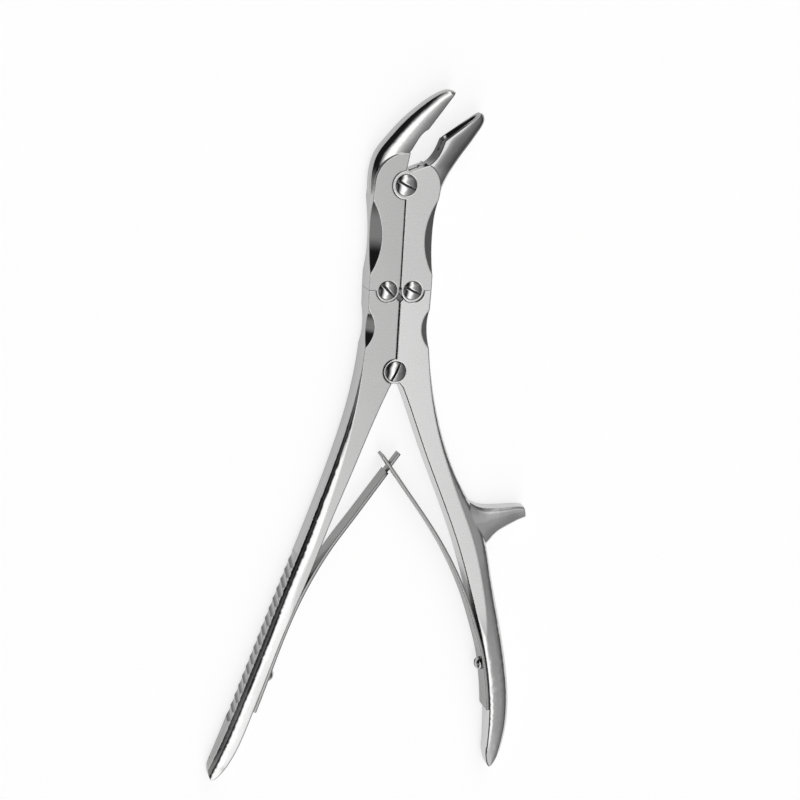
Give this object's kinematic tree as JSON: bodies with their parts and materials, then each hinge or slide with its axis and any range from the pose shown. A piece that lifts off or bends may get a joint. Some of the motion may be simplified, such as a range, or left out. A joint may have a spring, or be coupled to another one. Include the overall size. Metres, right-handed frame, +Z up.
{
  "type": "bone rongeur",
  "caption": "Double-action bone rongeur with curved cupped jaws, jointed handles, a finger spur and crossing leaf springs.",
  "frame": {"origin": "on the flat back face of the joint plates, on the axis of the rear pivot, with the instrument lying on its back", "axes": "+X to the right across the instrument, +Y from the grips towards the jaws along the two pivots' middle line, +Z up out of the front face with the screw heads"},
  "size_m": [0.1243, 0.2732, 0.0116],
  "materials": {
    "forged_steel": "satin flats, polished edges and arms",
    "screw_steel": "polished",
    "spring_steel": "fine ground"
  },
  "bodies": {
    "left_handle": {"left_handle": "forged_steel", "left_spring_screw": "screw_steel"},
    "right_handle": {"right_handle": "forged_steel", "rear_pivot_screw": "screw_steel", "right_spring_screw": "screw_steel"},
    "left_jaw": {"left_jaw": "forged_steel", "left_link_screw": "screw_steel"},
    "right_jaw": {"right_jaw": "forged_steel", "right_link_screw": "screw_steel", "front_pivot_screw": "screw_steel"},
    "left_spring": {"left_leaf_spring": "spring_steel"},
    "right_spring": {"right_leaf_spring": "spring_steel"}
  },
  "joints": [
    {"name": "handle_squeeze", "type": "hinge", "parent": "left_handle", "child": "right_handle", "pos_m": [0, 0, 0], "axis": [0, 0, -1], "range_deg": [0, 23.94], "stiffness_Nm_per_rad": 2.5, "springref_deg": -6.88},
    {"name": "left_jaw_turn", "type": "hinge", "parent": "left_handle", "child": "left_jaw", "pos_m": [-0.00485, 0.0313, 0], "axis": [0, 0, -1], "range_deg": [0, 21.4]},
    {"name": "right_jaw_turn", "type": "hinge", "parent": "right_handle", "child": "right_jaw", "pos_m": [0.00485, 0.0313, 0], "axis": [0, 0, 1], "range_deg": [0, 21.4]},
    {"name": "left_spring_flex", "type": "hinge", "parent": "left_handle", "child": "left_spring", "pos_m": [-0.0337, -0.0925, 0.0052], "axis": [0, 0, 1], "range_deg": [0, 8], "deforming": ["left_leaf_spring"]},
    {"name": "right_spring_flex", "type": "hinge", "parent": "right_handle", "child": "right_spring", "pos_m": [0.0337, -0.0925, 0.0052], "axis": [0, 0, -1], "range_deg": [0, 6.5], "deforming": ["right_leaf_spring"]}
  ],
  "couplings": [
    {"joint": "left_jaw_turn", "follows": "handle_squeeze", "ratio": 0.8906},
    {"joint": "right_jaw_turn", "follows": "handle_squeeze", "ratio": 0.8906},
    {"joint": "left_spring_flex", "follows": "handle_squeeze", "ratio": 0.332},
    {"joint": "right_spring_flex", "follows": "handle_squeeze", "ratio": 0.267}
  ]
}
